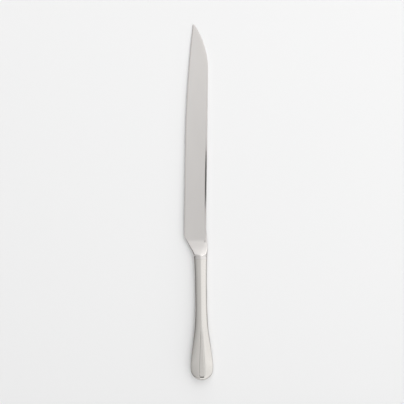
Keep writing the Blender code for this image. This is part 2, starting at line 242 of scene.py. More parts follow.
# %% [markdown]
# ### Rows and columns of the sheet
#
# A mirror finish shows every facet, so the sheet is finest where the handle turns fastest: round the butt,
# on the rib's flank, across the groove and towards the sides. Even spacing would do as well, but only with
# several times as many faces, most of them where nothing turns.

# %% Where the rows and columns go
BUTT_ROWS_SHARE = 0.22
RIB_MOST = 0.3
GROOVE_MOST = 0.14
RIB_TOP_COLUMNS = 0.11
RIB_FOOT_COLUMNS = 0.18
GROOVE_COLUMNS = 0.28


def row_places(net, size, v):
    """y of each row: by equal angles round the butt, then evenly spaced to the mouth."""
    butt_radius = size["Butt width"] / 2
    turned = net.reach(v, 0, BUTT_ROWS_SHARE, 0, math.pi / 2)
    straight = net.reach(v, BUTT_ROWS_SHARE, 1)
    return butt_radius * (1 - net.math("COSINE", turned)) + (size["Length"] - butt_radius) * straight


def rib_places(net, size, rib_share, half_width):
    """Shares of the half width at which the rib's flat top, its flank and the groove beside it end."""
    rib_width = size["Rib start width"] + (size["Rib width"] - size["Rib start width"]) * rib_share
    rib_half = net.math("MINIMUM", rib_width / 2, half_width * RIB_MOST)
    foot = rib_half / half_width
    top = (rib_half - net.math("MINIMUM", size["Rib flank"], rib_half / 2)) / half_width
    bank = foot + net.math("MINIMUM", size["Groove width"] / half_width, GROOVE_MOST)
    return top, foot, bank


def column_places(net, across, side_column, top, foot, bank):
    """Place of each column over the rib's top, its flank and the groove, then by equal angles to the side.
    How far it has come over the flank and over the groove is handed back too."""
    over_top = net.reach(across, 0, RIB_TOP_COLUMNS) * top
    over_flank = net.reach(across, RIB_TOP_COLUMNS, RIB_FOOT_COLUMNS)
    over_groove = net.reach(across, RIB_FOOT_COLUMNS, GROOVE_COLUMNS)
    beyond = net.reach(across, GROOVE_COLUMNS, side_column)
    angle = net.math("ARCCOSINE", bank) * (1 - beyond)
    place = over_top + over_flank * (foot - top) + over_groove * (bank - foot)
    return place + net.math("COSINE", angle) - bank, over_flank, over_groove


# %% [markdown]
# ### Roof, grooves and rib
#
# The real rib is pressed out of the same sheet as the rest, so it is no piece laid on top here either. The
# roof comes first, domed down to the butt. The grooves are taken out of it, deepest at the rib's foot, and
# then the rib's level top is mixed in over its own width.

# %% The heights of roof, groove and rib
DOME_FULLNESS = 2.3
RIB_GROWTH = 3


def roof_height(net, size, y, place, floor, level):
    """The roof and its ridge, domed at the butt. Inside the place called floor it is level across."""
    dome = full_curve(net, net.reach(y, 0, size["Butt dome"], 1, 0), DOME_FULLNESS)
    flattened = net.math("MAXIMUM", place, floor)
    return net.math("MAXIMUM", section_height(net, flattened, level * dome), size["Side land"] / 2)


def groove_depth(net, size, y, grown, over_groove):
    """The groove grows with the rib, runs out along the rib's end face, and shallows towards its bank."""
    full_rib = size["Rib to end"] + size["Rib end face"]
    runs_out = net.reach(y, size["Rib to end"], full_rib, smooth=True)
    return size["Groove depth"] * grown * runs_out * net.reach(over_groove, 0, 1, 1, 0, smooth=True)


def rib_height(net, size, y, foot, level, grown):
    """The rib's level top, and the face by which it comes down to the dome at its end."""
    rib_top = section_height(net, foot, level) + size["Rib height"] * grown
    end_dome = full_curve(net, 1 - size["Rib to end"] / size["Butt dome"], DOME_FULLNESS)
    end_foot = section_height(net, foot, level * end_dome)
    up_end_face = net.reach(y, size["Rib to end"], size["Rib to end"] + size["Rib end face"])
    return end_foot + (rib_top - end_foot) * up_end_face


# %% Where a point of the raw sheet ends up
def pressed_point(net, size, u, v):
    """The place of a point on the handle. The last step across the sheet is the land at the seam."""
    across = net.math("ABSOLUTE", u)
    side_column = 1 - 2 / (size["Columns"] - 1)
    y = row_places(net, size, v)
    half_width, level = handle_outline(net, size, y)

    rib_share = net.reach(y, size["Rib length"], size["Butt length"])
    grown = net.reach(rib_share * RIB_GROWTH, 0, 1, smooth=True)
    top, foot, bank = rib_places(net, size, rib_share, half_width)
    place, over_flank, over_groove = column_places(net, across, side_column, top, foot, bank)

    # Past the rib's end the roof is level as far out as the rib's foot.
    before_end = net.math("GREATER_THAN", y, size["Rib to end"])
    roof = roof_height(net, size, y, place, foot * (1 - before_end), level)
    roof = roof - groove_depth(net, size, y, grown, over_groove)
    rib = rib_height(net, size, y, foot, level, grown)
    rib_start = net.reach(y, size["Rib length"], size["Rib length"] - size["Rib start width"])
    on_rib = net.reach(over_flank, 0, 1, 1, 0) * before_end * rib_start
    height = roof + (rib - roof) * on_rib
    on_land = net.reach(across, side_column, 1)
    z = height + (size["Seam"] / 2 - height) * on_land

    # Signed again, the place across the sheet becomes x.
    x = place * half_width * net.math("SIGN", u)
    return net.node("ShaderNodeCombineXYZ", inputs={"X": x, "Y": y, "Z": z})


# %% The tree that presses one half
WELD_DISTANCE = 0.001 * MM


def name_inputs(tree):
    """Gives the tree a named input for every size, for its counts, its place and its steel."""
    kinds = dict.fromkeys(HANDLE, "NodeSocketFloat")
    kinds["Columns"] = "NodeSocketInt"
    kinds["Rows"] = "NodeSocketInt"
    kinds["Turn"] = "NodeSocketFloat"
    kinds["Place"] = "NodeSocketVector"
    kinds["Material"] = "NodeSocketMaterial"
    for name, kind in kinds.items():
        tree.interface.new_socket(name, in_out="INPUT", socket_type=kind)
    tree.interface.new_socket("Handle", in_out="OUTPUT", socket_type="NodeSocketGeometry")


def handle_tree():
    """The tree that presses one half of the handle out of a grid."""
    tree = bpy.data.node_groups.new("handle_pressing", "GeometryNodeTree")
    name_inputs(tree)
    net = Net(tree)
    given = tree.nodes.new("NodeGroupInput")
    size = {socket.name: Socket(net, socket) for socket in given.outputs if socket.name}

    # The raw sheet: u runs from -1 to 1 across it, and v from 0 at the butt to 1 at the mouth.
    extent = {"Size X": 2.0, "Size Y": 2.0, "Vertices X": size["Columns"], "Vertices Y": size["Rows"]}
    sheet = net.node("GeometryNodeMeshGrid", inputs=extent)
    u, v_centred, _ = net.split(net.node("GeometryNodeInputPosition"))
    point = pressed_point(net, size, u, (v_centred + 1) / 2)

    pressed = net.node("GeometryNodeSetPosition", inputs={"Geometry": sheet, "Position": point})
    welding = {"Geometry": pressed, "Distance": WELD_DISTANCE}
    closed = net.node("GeometryNodeMergeByDistance", inputs=welding)
    turn = net.node("ShaderNodeCombineXYZ", inputs={"Y": size["Turn"]})
    placing = {"Geometry": closed, "Translation": size["Place"], "Rotation": turn}
    placed = net.node("GeometryNodeTransform", inputs=placing)
    plain = net.node("GeometryNodeRealizeInstances", inputs={"Geometry": placed})
    painted = net.node("GeometryNodeSetMaterial", inputs={"Geometry": plain, "Material": size["Material"]})
    result = tree.nodes.new("NodeGroupOutput")
    tree.links.new(painted.link, result.inputs["Handle"])
    print(f"The pressing tree has {len(HANDLE)} named sizes and {len(tree.nodes)} nodes")
    return tree


# %% [markdown]
# ## From a tree to a plain mesh
#
# A modifier's result only lasts while the modifier does, so what comes out of the tree is copied out as an
# ordinary mesh. Then it gets its wall. An inner skin could be pressed by a second tree, but Solidify offsets
# the outer one evenly, which is what a sheet of even thickness does. The offset takes the inner skin a
# little past the joint in places, so the joint face is dressed flush afterwards. Edges count as sharp only
# where the surface really turns, so that the polished flanks shade as one curve.

# %% Objects and plain meshes
CREASE = 9.0


def add_object(name, data):
    """A new object in the scene."""
    made = bpy.data.objects.new(name, data)
    bpy.context.scene.collection.objects.link(made)
    return made


def plain_mesh(name, carrier):
    """The evaluated mesh of a carrier as an object of its own, and the carrier is deleted."""
    bpy.context.view_layer.update()
    depsgraph = bpy.context.evaluated_depsgraph_get()
    mesh = bpy.data.meshes.new_from_object(carrier.evaluated_get(depsgraph))
    mesh.name = name
    bpy.data.objects.remove(carrier)
    return add_object(name, mesh)


def shade(piece):
    """Smooth shading that breaks only along real edges."""
    piece.data.shade_smooth()
    piece.data.set_sharp_from_angle(angle=math.radians(CREASE))


# %% Press one half
HANDLE_COLUMNS = 112
HANDLE_ROWS = 230
WALL = 0.7 * MM


def press_handle(name, tree, turn, material):
    """One half of the handle, pressed, walled and dressed flush at the joint."""
    carrier = add_object(name + "_sheet", bpy.data.meshes.new(name + "_sheet"))
    modifier = carrier.modifiers.new("pressing", "NODES")
    modifier.node_group = tree
    counts = {"Columns": HANDLE_COLUMNS + 1, "Rows": HANDLE_ROWS + 1}
    values = {**HANDLE, **counts, "Turn": turn, "Place": PLACE, "Material": material}
    for item in tree.interface.items_tree:
        if item.in_out == "INPUT":
            modifier[item.identifier] = values[item.name]
    shell = plain_mesh(name, carrier)

    wall = shell.modifiers.new("wall", "SOLIDIFY")
    wall.thickness = WALL
    wall.offset = -1
    wall.use_even_offset = True
    shell = plain_mesh(name, shell)

    # No part of the wall may reach past the joint face, whichever way up the half lies.
    side = math.cos(turn)
    for vert in shell.data.vertices:
        vert.co.z = PLACE[2] + side * max((vert.co.z - PLACE[2]) * side, SEAM / 2)
    shade(shell)
    print(f"{name}: {len(shell.data.polygons)} faces")
    return shell


# %% [markdown]
# ## The forged blade
#
# Blade, bolster, collar and tang are one forging. The blade is a wedge: thick along the spine, thin behind a
# narrow bevel. Below the heel it has to turn into the handle's section, and the way it does so is what gives
# a forged knife away. The flats ramp up to a shoulder, whose sides are chamfered and end in a narrow steep
# wall. Under it a short neck already has the handle's section. The choil is raked back to the handle, the
# side of the spine swells out, and the line along the spine wanders inwards to become the handle's ridge.
#
# Boolean cuts would leave ragged faces that a polish can't hide, and a subdivided cage would soften the
# creases that a grinder leaves crisp. A loft through sections keeps both clean. Each section is listed from
# the cutting edge over the ridge to the spine, and on the way from blade to handle one kind of section is
# mixed into the other.

# %% Small curves that the blade is drawn with
def mix(a, b, share):
    return a + (b - a) * share


def clamp(value, low=0.0, high=1.0):
    return max(low, min(high, value))


def ease(t):
    """Smooth step from 0 to 1."""
    t = clamp(t)
    return t * t * (3 - 2 * t)


def arc_rise(run, length, rise):
    """Height at run along an arc that starts level and has climbed rise after length."""
    radius = (length**2 + rise**2) / (2 * rise)
    return radius - math.sqrt(radius**2 - clamp(run, 0, length) ** 2)


def steps(start, end, count):
    """count + 1 values from start to end, both included."""
    return [mix(start, end, k / count) for k in range(count + 1)]


def soft_plus(value, softness):
    """The value where it is above 0, and 0 below, with a rounded corner."""
    return (value + math.hypot(value, softness)) / 2


# %% [markdown]
# ### The outline
#
# The edge is straight from the heel and then sweeps up in one wide arc. The spine runs straight, leaning
# back a little, and drops to the point over the last stretch. Below the shoulder it swells to meet the
# handle. A traced list of points would do, but a few lines and arcs stay smooth at any number of rows, and
# their sizes can be read and changed.

# %% The outline's sizes
HEEL_DROP = 14.75 * MM
SPINE_RISE = 5.35 * MM
BLADE_CANT = 1.4
EDGE_SWEEP_LENGTH = 106 * MM
EDGE_SWEEP_RISE = 5.5 * MM
CLIP_LENGTH = 42 * MM
TIP_WIDTH = 1.5 * MM
TIP_ROUND = 0.6 * MM
TIP_FLAT = 0.35 * MM
CHOIL_LENGTH = 20.5 * MM
CHOIL_FILLET = 6 * MM
SHOULDER_LENGTH = 31 * MM
SWELL_LENGTH = 9 * MM
SWELL_WIDTH = 13.0 * MM

HEEL_Y = JOINT_Y + CHOIL_LENGTH
SHOULDER_Y = JOINT_Y + SHOULDER_LENGTH
SWELL_Y = JOINT_Y + SWELL_LENGTH
SWEEP_Y = OVERALL_LENGTH - EDGE_SWEEP_LENGTH
CLIP_Y = OVERALL_LENGTH - CLIP_LENGTH


# %% The outline of the blade
def cant(run):
    return run * math.tan(math.radians(BLADE_CANT))


def edge_x(y):
    return -HEEL_DROP + cant(y - HEEL_Y) + arc_rise(y - SWEEP_Y, EDGE_SWEEP_LENGTH, EDGE_SWEEP_RISE)


def spine_line(y):
    return SPINE_RISE + cant(y - SHOULDER_Y)


def spine_x(y):
    drop = spine_line(OVERALL_LENGTH) - edge_x(OVERALL_LENGTH) - TIP_WIDTH
    return spine_line(y) - arc_rise(y - CLIP_Y, CLIP_LENGTH, drop)


def choil_x(y):
    """The raked cut from the handle up to the heel, with a fillet where it leaves the handle."""
    run = math.hypot(y - JOINT_Y, CHOIL_FILLET) - CHOIL_FILLET
    whole = math.hypot(CHOIL_LENGTH, CHOIL_FILLET) - CHOIL_FILLET
    return mix(-HANDLE["Mouth width"] / 2, edge_x(HEEL_Y), run / whole)


def swell_x(y):
    """The bolster on the spine's side, where it stands out beyond both the handle and the spine."""
    if y < SWELL_Y:
        return mix(HANDLE["Mouth width"] / 2, SWELL_WIDTH / 2, ease((y - JOINT_Y) / SWELL_LENGTH))
    return mix(SWELL_WIDTH / 2, spine_line(y), ease((y - SWELL_Y) / (SHOULDER_Y - SWELL_Y)))


def blade_sides(y):
    """Left and right of the outline at y."""
    left = edge_x(y) if y >= HEEL_Y else choil_x(y)
    if y < SHOULDER_Y:
        return left, swell_x(y)
    right = spine_x(y)
    inwards = clamp((y - (OVERALL_LENGTH - TIP_ROUND)) / TIP_ROUND)
    closed = (right - left - TIP_FLAT) / 2 * (1 - math.sqrt(1 - inwards**2))
    return left + closed, right - closed


HEEL_WIDTH = spine_line(HEEL_Y) - edge_x(HEEL_Y)
print(f"Blade {HEEL_WIDTH / MM:.1f} mm from edge to spine at the heel")

# %% [markdown]
# ### The sections
#
# On the ground flat the height is one true plane, because a grinding wheel leaves a plane, and a mirror
# finish would show anything else at once. The places across a section stand close together at each crease:
# the bevel, the ridge, and the chamfer and wall at either side. So the shading turns there and nowhere else.
# A Bevel modifier could round the creases, but not in step with a bolster that changes all along its length.

# %% The sections' sizes
SPINE_THICKNESS = 2.4 * MM
EDGE_THICKNESS = 0.7 * MM
BEVEL_WIDTH = 1.1 * MM
EDGE_LAND = 0.12 * MM
SPINE_FILLET = 0.18 * MM
SPINE_BAND = 1.35 * MM
NARROW_SHARE = 0.3
CHOIL_LAND = 0.5 * MM
CHAMFER_START = 0.8 * MM
CHAMFER_WIDTH = 1.6 * MM
CHAMFER_PITCH = 0.82
SIDE_WALL = 0.4 * MM
SIDE_WALL_PITCH = 1.6
SHOULDER_DROP = 0.15
SHOULDER_ROUND = 3 * MM
NECK_LENGTH = 2 * MM
RAMP_LENGTH = 16.5 * MM
RAMP_HOLLOW = 0.9
CREST_SHARE = 0.08
RIDGE_LENGTH = 23 * MM

NECK_Y = JOINT_Y + NECK_LENGTH
RAMP_Y = NECK_Y + RAMP_LENGTH
RIDGE_Y = NECK_Y + RIDGE_LENGTH
MOUTH_HALF = HANDLE["Mouth thickness"] / 2
FLAT_SLOPE_X = (SPINE_THICKNESS - EDGE_THICKNESS) / 2 / HEEL_WIDTH
FLAT_SLOPE_Y = -FLAT_SLOPE_X * (edge_x(OVERALL_LENGTH) - edge_x(HEEL_Y)) / (OVERALL_LENGTH - HEEL_Y)
print(f"Each flat is ground at {math.degrees(math.atan(FLAT_SLOPE_X)):.2f} degrees across the blade")


# %% Heights of the handle's mouth, the flat and the bolster
def section(place, half_thickness):
    """The handle's section in plain numbers, where place is 0 at the ridge and 1 at a side."""
    out = clamp(place)
    softened = math.hypot(out, RIDGE_SOFTNESS) - RIDGE_SOFTNESS
    roof = 1 - ROOF_DROP * (softened * RIDGE_SHARE + out * out * (1 - RIDGE_SHARE))
    side = (1 - out**SIDE_SQUARENESS) ** (1 / SIDE_SQUARENESS)
    return max(half_thickness * roof * side, HANDLE["Side land"] / 2)


def flat_height(x, y):
    return EDGE_THICKNESS / 2 + FLAT_SLOPE_X * (x - edge_x(HEEL_Y)) + FLAT_SLOPE_Y * (y - HEEL_Y)


def ramp_rise(y):
    """0 on the flat of the blade, 1 at the joint: a hollow curve, its tangent, and a rounded crest."""
    ramp = clamp((RAMP_Y - y) / RAMP_LENGTH)
    hollow = min(ramp, RAMP_HOLLOW)
    rise = hollow * (2 * ramp - hollow) / (RAMP_HOLLOW * (2 - RAMP_HOLLOW)) * (1 + CREST_SHARE)
    over = max(0.0, rise - (1 - CREST_SHARE))
    return rise - over**2 / (4 * CREST_SHARE)


def shoulder_top(place):
    """The shoulder's own roof, where place is 0 at the ridge and 1 at a side. The chamfer closes its side."""
    return MOUTH_HALF * (1 - SHOULDER_DROP * (place * RIDGE_SHARE + place * place * (1 - RIDGE_SHARE)))


# %% Chamfer and wall
CREASE_RADIUS = 0.06 * MM


def wall_width(chamfer):
    """How much of the chamfer's width the steep wall outside it takes."""
    return min(SIDE_WALL, chamfer / 2)


def bolster_height(on_blade, place, side_gap, chamfer, y):
    """The ramp lifts the blade to a shoulder with a chamfer along its side, and at the neck the shoulder
    comes down to the handle's section."""
    shoulder = mix(on_blade, shoulder_top(place), ramp_rise(y))
    cut = 0.0
    if chamfer > 0:
        cut = CHAMFER_PITCH * soft_plus(chamfer - side_gap, CREASE_RADIUS)
        cut += SIDE_WALL_PITCH * soft_plus(wall_width(chamfer) - side_gap, CREASE_RADIUS)
    shoulder = max(shoulder - cut, min(shoulder, CHOIL_LAND / 2))
    return mix(section(place, MOUTH_HALF), shoulder, ease((y - NECK_Y) / SHOULDER_ROUND))


# %% Places across a section
FLAT_COLUMNS = 34
BAND_COLUMNS = 6
CROWN_COLUMNS = 22
CHAMFER_COLUMNS = 6
WALL_COLUMNS = 7
WALL_START_MOST = 0.7
CROWN_END_ON_BLADE = 0.67
CROWN_END_MOST = 0.985


def edge_places(bevel_share, wall_share):
    """Places from the cutting edge to the end of the bevel, or of the choil's wall and chamfer."""
    return steps(0, wall_share, WALL_COLUMNS)[:-1] + steps(wall_share, bevel_share, CHAMFER_COLUMNS)


def round_places(y, width, chamfer):
    """Places from the ridge to the spine's side, close together at the ridge and where the chamfer starts."""
    crown_end = mix(CROWN_END_ON_BLADE, CROWN_END_MOST, ease((RIDGE_Y - y) / (RIDGE_Y - RAMP_Y)))
    crown_end = min(crown_end, 1 - chamfer / width)
    wall_start = min(1 - wall_width(chamfer) / width, mix(crown_end, 1, WALL_START_MOST))
    turns = steps(0, math.pi, CROWN_COLUMNS)[1:]
    crown = [crown_end * (1 - math.cos(turn)) / 2 for turn in turns]
    cut = steps(crown_end, wall_start, CHAMFER_COLUMNS)[1:]
    wall = [mix(wall_start, 1, math.sin(turn)) for turn in steps(0, math.pi / 2, WALL_COLUMNS)[1:]]
    return crown + cut + wall


# %% The whole top line of a section
CREASE_BAND = 0.02
BAND_END = 0.95


def blade_profile(y):
    """Top line of the section at y, from the cutting edge to the spine."""
    left, right = blade_sides(y)
    most = NARROW_SHARE * (right - left)
    fillet = min(SPINE_FILLET, most, flat_height(right, y) - HANDLE["Side land"] / 2)
    band_x = right - fillet - min(SPINE_BAND, most)
    turned = ease((RIDGE_Y - y) / RIDGE_LENGTH)
    ridge = mix(right - fillet, 0.0, turned)
    rise = ramp_rise(y)
    on_choil = y < HEEL_Y
    chamfer = mix(CHAMFER_START, CHAMFER_WIDTH, rise) if on_choil else 0.0
    bevel = chamfer if on_choil else min(BEVEL_WIDTH, most)
    bevel_share = bevel / (ridge - left)
    band_share = min(mix((band_x - left) / (ridge - left), BAND_END, turned), BAND_END)

    def half_thickness(x):
        if not on_choil and x < left + bevel:
            return mix(EDGE_LAND / 2, flat_height(left + bevel, y), (x - left) / bevel)
        return flat_height(min(x, band_x), y)

    crease = CREASE_BAND * (band_share - bevel_share)
    wall_share = wall_width(chamfer) / (ridge - left) if on_choil else bevel_share / 2
    places = edge_places(bevel_share, wall_share)
    places += steps(bevel_share + crease, band_share, FLAT_COLUMNS)
    places += steps(band_share, 1, BAND_COLUMNS)[1:]
    profile = []
    for place in places:
        x = mix(left, ridge, place)
        profile.append((x, bolster_height(half_thickness(x), 1 - place, x - left, chamfer, y)))
    for place in round_places(y, right - ridge, CHAMFER_WIDTH * rise):
        x = mix(ridge, right, place)
        on_blade = half_thickness(ridge) - fillet * (1 - math.sqrt(max(0.0, 1 - place**2)))
        profile.append((x, bolster_height(on_blade, place, right - x, CHAMFER_WIDTH * rise, y)))
    return profile


COLUMN_TOTAL = len(blade_profile(JOINT_Y))
print(f"A section has {COLUMN_TOTAL} points along its top line")

# %% [markdown]
# ### Collar and tang
#
# Behind the joint the forging steps down to a collar, which centres the blade in the handle's mouth, and
# then to a notched tang that the cement grips. All of it is hidden once the knife is together. It could be
# left out, but then the piece wouldn't be whole when it is taken out, so it gets plain sections in the same
# loft.

# %% Sections of the collar and the tang
COLLAR_LENGTH = 3 * MM
COLLAR_FIT = 0.3 * MM
TANG_LENGTH = 58 * MM
TANG_WIDTH = 6.4 * MM
TANG_THICKNESS = 3.0 * MM
TANG_END_WIDTH = 3.6 * MM
TANG_END_THICKNESS = 1.8 * MM
TANG_SQUARENESS = 6
TANG_CORNER = 0.02
NOTCH_COUNT = 3
NOTCH_LENGTH = 3.5 * MM
NOTCH_DEPTH = 0.7 * MM
NOTCH_FLANK = 0.8 * MM

COLLAR_Y = JOINT_Y - COLLAR_LENGTH
TANG_END_Y = COLLAR_Y - TANG_LENGTH
print(f"The tang ends {TANG_END_Y / MM:.1f} mm short of the butt's end")


def across_sections():
    """Places from -1 to 1 by equal angles, as many as a section of the blade has."""
    return [-math.cos(math.pi * k / (COLUMN_TOTAL - 1)) for k in range(COLUMN_TOTAL)]


def collar_profile():
    inset = WALL + COLLAR_FIT
    half_width = HANDLE["Mouth width"] / 2 - inset
    return [(place * half_width, section(abs(place), MOUTH_HALF - inset)) for place in across_sections()]


def notch_share(y):
    """1 along the bottom of a notch and 0 beside it."""
    middles = [COLLAR_Y - TANG_LENGTH * k / (NOTCH_COUNT + 1) for k in range(1, NOTCH_COUNT + 1)]
    beyond = min(abs(y - middle) for middle in middles) - NOTCH_LENGTH / 2
    return clamp(1 - beyond / NOTCH_FLANK)


def tang_profile(y):
    reach = clamp((COLLAR_Y - y) / TANG_LENGTH)
    half_width = mix(TANG_WIDTH, TANG_END_WIDTH, reach) / 2 - NOTCH_DEPTH * notch_share(y)
    half_thickness = mix(TANG_THICKNESS, TANG_END_THICKNESS, reach) / 2
    profile = []
    for place in across_sections():
        arch = max(TANG_CORNER, 1 - abs(place) ** TANG_SQUARENESS) ** (1 / TANG_SQUARENESS)
        profile.append((place * half_width, arch * half_thickness))
    return profile


# %% [markdown]
# ### Lofting the forging
#
# Each section becomes a closed ring, its top line and the mirror image of it underneath, and a skin joins
# one ring to the next. Both ends are closed. Bridge Edge Loops could lay the skin, but every ring has the
# same number of points, so plain faces from one to the next keep the rows in order. Two sections stand all
# but on top of each other at the heel, so that its corner is crisp.

# %% Rings along the forging
BLADE_ROWS = 170
BOLSTER_ROWS = 100
NECK_ROWS = 48
TIP_ROWS = 6
TANG_ROWS = 120
HEEL_STEP = 0.01 * MM
HEEL_CLEARANCE = 0.1 * MM


def ring(profile, y):
    """A closed ring in the frame's own place: the top line and its mirror image back underneath."""
    points = [(x, z) for x, z in profile] + [(x, -z) for x, z in reversed(profile)]
    return [(PLACE[0] + x, PLACE[1] + y, PLACE[2] + z) for x, z in points]


def blade_stations():
    """Places along the blade, from the point to the joint."""
    point_start = OVERALL_LENGTH - TIP_ROUND
    point = [point_start + TIP_ROUND * math.sin(turn) for turn in steps(math.pi / 2, 0, TIP_ROWS)]
    straight = steps(point_start, SHOULDER_Y, BLADE_ROWS)[1:]
    bolster = steps(SHOULDER_Y, NECK_Y + SHOULDER_ROUND, BOLSTER_ROWS)[1:]
    bolster += steps(NECK_Y + SHOULDER_ROUND, JOINT_Y, NECK_ROWS)[1:]
    heel = [HEEL_Y, HEEL_Y - HEEL_STEP]
    near_heel = [y for y in bolster if abs(y - HEEL_Y) < HEEL_CLEARANCE]
    return sorted(set(point + straight + bolster + heel) - set(near_heel), reverse=True)


# %% Loft the blade
def loft(name, rings):
    """A closed skin over rings that all have as many points."""
    skin = bmesh.new()
    loops = [[skin.verts.new(point) for point in points] for points in rings]
    count = len(loops[0])
    for near, far in zip(loops, loops[1:]):
        for i in range(count):
            j = (i + 1) % count
            skin.faces.new((near[i], near[j], far[j], far[i]))
    skin.faces.new(loops[0])
    skin.faces.new(loops[-1])
    bmesh.ops.recalc_face_normals(skin, faces=skin.faces)
    mesh = bpy.data.meshes.new(name)
    skin.to_mesh(mesh)
    skin.free()
    return add_object(name, mesh)


def forge_blade(name, material):
    rings = [ring(blade_profile(y), y) for y in blade_stations()]
    rings += [ring(collar_profile(), y) for y in (JOINT_Y, COLLAR_Y)]
    rings += [ring(tang_profile(y), y) for y in steps(COLLAR_Y, TANG_END_Y, TANG_ROWS)]
    blade = loft(name, rings)
    blade.data.materials.append(material)
    shade(blade)
    print(f"{name}: {len(rings)} sections, {len(blade.data.polygons)} faces")
    return blade


# %% [markdown]
# ## Steel
#
# Polished stainless steel is a warm, near-neutral mirror. What keeps it from looking like chrome is its
# surface: fine lines from the grinding and buffing, which run along the piece, and a polish that is never
# quite even. A picture of scratches could give both, but it would repeat or stretch somewhere. Noise on
# object coordinates does neither. Stretched along y it makes the lines, which feed the roughness, the colour
# and a very light bump. In large soft patches it makes the polish and the tone uneven.

# %% A new material
def new_material(name):
    """A material, its tree as a net, and the shader in it."""
    material = bpy.data.materials.new(name)
    material.use_nodes = True
    return material, Net(material.node_tree), material.node_tree.nodes["Principled BSDF"]


# %% The steel of blade and handle
BLADE_COLOUR = (0.64, 0.618, 0.602)
HANDLE_COLOUR = (0.64, 0.619, 0.59)
DARKER = 0.965
TONE_START = 0.3
TONE_END = 0.7
LINE_STRETCH = 60
LINE_DETAIL = 2.0
LINE_HEIGHT = 0.0002 * MM
CLOUD_WIDTH = 9 * MM
CLOUD_LENGTH = 26 * MM
CLOUD_DETAIL = 3.0
POLISH_BASE = 0.86
POLISH_LINES = 0.16
POLISH_CLOUD = 0.12


def stretched_noise(net, where, width, length, detail):
    """Noise whose patches are as wide as width and, along y, as long as length."""
    scale = (1 / width, 1 / length, 1 / width)
    stretched = net.node("ShaderNodeMapping", inputs={"Vector": where, "Scale": scale})
    return net.node("ShaderNodeTexNoise", inputs={"Vector": stretched, "Scale": 1.0, "Detail": detail})


def steel(name, colour, roughness, line_pitch):
    """Stainless steel with polishing lines along y."""
    material, net, shader = new_material(name)
    where = net.node("ShaderNodeTexCoord", output="Object")
    lines = stretched_noise(net, where, line_pitch, LINE_STRETCH * line_pitch, LINE_DETAIL)
    cloud = stretched_noise(net, where, CLOUD_WIDTH, CLOUD_LENGTH, CLOUD_DETAIL)
    tone = net.reach(cloud * 0.5 + lines * 0.5, TONE_START, TONE_END)
    paint = net.blend(tone, tuple(value * DARKER for value in colour), colour)
    polish = roughness * (POLISH_BASE + lines * POLISH_LINES + cloud * POLISH_CLOUD)
    relief = net.node("ShaderNodeBump", inputs={"Strength": 1.0, "Distance": LINE_HEIGHT, "Height": lines})
    net.feed(shader.inputs["Base Color"], paint)
    net.feed(shader.inputs["Roughness"], polish)
    net.feed(shader.inputs["Normal"], relief)
    shader.inputs["Metallic"].default_value = 1.0
    print(f"{name}: {len(net.tree.nodes)} nodes")
    return material


blade_steel = steel("blade_steel", BLADE_COLOUR, roughness=0.085, line_pitch=0.35 * MM)
handle_steel = steel("handle_steel", HANDLE_COLOUR, roughness=0.08, line_pitch=0.3 * MM)


# %% [markdown]
# ## Cement
#
# The fill is a plain, gritty grey that is cast round the tang. It can't be seen, so a finer form would be
# wasted on it: it keeps the solid that the frame gives it, and only its finish is made here.

# %% The cement in the handle
CEMENT_DARK = (0.36, 0.34, 0.31)
CEMENT_LIGHT = (0.56, 0.54, 0.5)
GRAINS_PER_METRE = 900.0
GRIT_HEIGHT = 0.1 * MM


def cement_finish(name):
    material, net, shader = new_material(name)
    where = net.node("ShaderNodeTexCoord", output="Object")
    grit_inputs = {"Vector": where, "Scale": GRAINS_PER_METRE, "Detail": 4.0}
    grit = net.node("ShaderNodeTexNoise", inputs=grit_inputs)
    relief = net.node("ShaderNodeBump", inputs={"Strength": 0.6, "Distance": GRIT_HEIGHT, "Height": grit})
    net.feed(shader.inputs["Base Color"], net.blend(grit, CEMENT_DARK, CEMENT_LIGHT))
    net.feed(shader.inputs["Normal"], relief)
    shader.inputs["Roughness"].default_value = 0.9
    print(f"{name}: {len(net.tree.nodes)} nodes")
    return material


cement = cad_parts["handle_cement"]
cement.data.materials.clear()
cement.data.materials.append(cement_finish("cement"))

# %% [markdown]
# ## Put the knife together
#
# The solids in the frame have the right sizes, but their facets would break up every reflection. So the fine
# pieces take their place, and ride on the frame's one body.

# %% Make the pieces and hand them to the frame
blade = forge_blade("cake_knife_blade", blade_steel)
pressing = handle_tree()
upper_half = press_handle("handle_upper_half", pressing, 0.0, handle_steel)
lower_half = press_handle("handle_lower_half", pressing, math.pi, handle_steel)

for piece, node, finish in (
    (blade, "blade", "blade_steel"),
    (upper_half, "upper_handle_shell", "handle_steel"),
    (lower_half, "lower_handle_shell", "handle_steel"),
):
    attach(piece, "root")
    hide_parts(node)

# %% [markdown]
# ## The table
#
# The knife is heaviest just in front of the handle, so on a real table it tips forward until the underside
# of the mouth and the point touch, and the butt hangs about a millimetre and a half clear. The knife could
# be tipped, but the frame keeps it level. So the sheet of card is what leans, by about one degree.
#
# In the photograph the card isn't one even white. It grows a little lighter to the right and towards the
# point, as a sheet does that is lit from there, and that light is painted into the card's colour.

# %% How the card leans
TABLE_SIZE = 3.0
CARD_CLEARANCE = 0.05 * MM
TOUCH_Y = CLIP_Y + CLIP_LENGTH / 3
MOUTH_Y = PLACE[1] + JOINT_Y
MOUTH_UNDERSIDE = PLACE[2] - MOUTH_HALF
POINT_Y = PLACE[1] + TOUCH_Y
POINT_UNDERSIDE = PLACE[2] - flat_height(spine_x(TOUCH_Y), TOUCH_Y)
LEAN = (POINT_UNDERSIDE - MOUTH_UNDERSIDE) / (POINT_Y - MOUTH_Y)
print(f"The card leans by {math.degrees(math.atan(LEAN)):.2f} degrees")


def card_height(y):
    return MOUTH_UNDERSIDE - CARD_CLEARANCE + LEAN * (y - MOUTH_Y)
